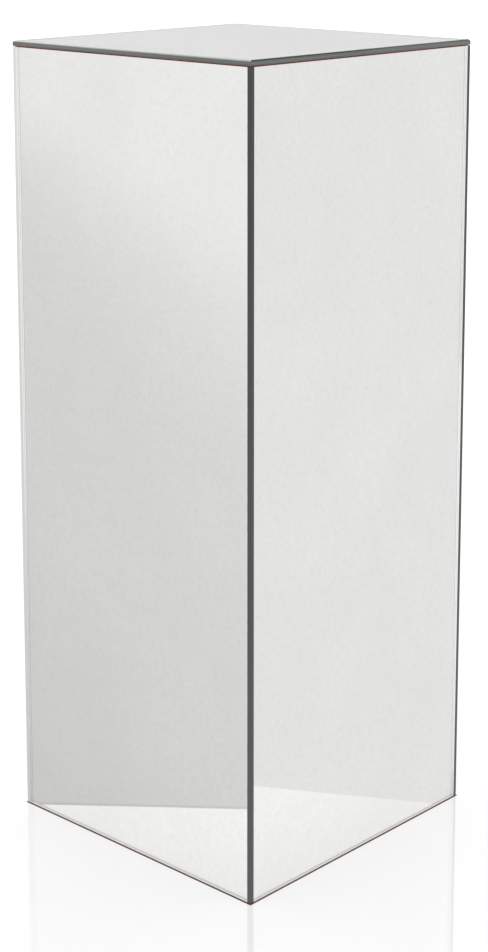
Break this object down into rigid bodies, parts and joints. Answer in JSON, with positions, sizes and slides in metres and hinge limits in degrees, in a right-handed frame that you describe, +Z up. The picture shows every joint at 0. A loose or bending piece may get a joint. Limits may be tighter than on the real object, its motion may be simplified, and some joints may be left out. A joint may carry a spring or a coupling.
{
  "type": "mirrored display pedestal",
  "caption": "Tall square display plinth faced on its top and all sides with silvered mirror glass bonded to a hollow fibreboard carcass on a felt base.",
  "frame": {"origin": "middle of the square footprint, on the floor", "axes": "+Z up, the front face looks along -Y and the right face along +X"},
  "size_m": [0.3048, 0.3048, 0.762],
  "materials": {
    "mirror_glass": "silvered float glass, flat polished edges with a fine arris",
    "mirror_backing": "red-brown mirror paint under a safety film",
    "foam_tape": "closed-cell foam mirror tape",
    "mastic": "cured mirror mastic, pressed flat",
    "fibreboard": "raw medium-density fibreboard",
    "softwood": "planed pine",
    "zinc_steel": "bright zinc plating",
    "corner_sealant": "dark grey-green glazing sealant, tooled flush and smooth",
    "pale_sealant": "pale grey glazing sealant, tooled flush and smooth",
    "felt": "black needle felt"
  },
  "bodies": {
    "root": {"base_felt": "felt", "base_board": "fibreboard", "front_board": "fibreboard", "right_board": "fibreboard", "back_board": "fibreboard", "left_board": "fibreboard", "top_board": "fibreboard", "front_right_batten": "softwood", "back_right_batten": "softwood", "back_left_batten": "softwood", "front_left_batten": "softwood", "front_board_screws": "zinc_steel", "right_board_screws": "zinc_steel", "back_board_screws": "zinc_steel", "left_board_screws": "zinc_steel", "top_board_screws": "zinc_steel", "base_board_screws": "zinc_steel", "front_mirror_tapes": "foam_tape", "right_mirror_tapes": "foam_tape", "back_mirror_tapes": "foam_tape", "left_mirror_tapes": "foam_tape", "top_mirror_tapes": "foam_tape", "front_mirror_mastic": "mastic", "right_mirror_mastic": "mastic", "back_mirror_mastic": "mastic", "left_mirror_mastic": "mastic", "top_mirror_mastic": "mastic", "front_mirror_backing": "mirror_backing", "right_mirror_backing": "mirror_backing", "back_mirror_backing": "mirror_backing", "left_mirror_backing": "mirror_backing", "top_mirror_backing": "mirror_backing", "front_mirror_glass": "mirror_glass", "right_mirror_glass": "mirror_glass", "back_mirror_glass": "mirror_glass", "left_mirror_glass": "mirror_glass", "top_mirror_glass": "mirror_glass", "front_right_corner_seal": "corner_sealant", "back_right_corner_seal": "corner_sealant", "back_left_corner_seal": "pale_sealant", "front_left_corner_seal": "pale_sealant"}
  },
  "joints": []
}
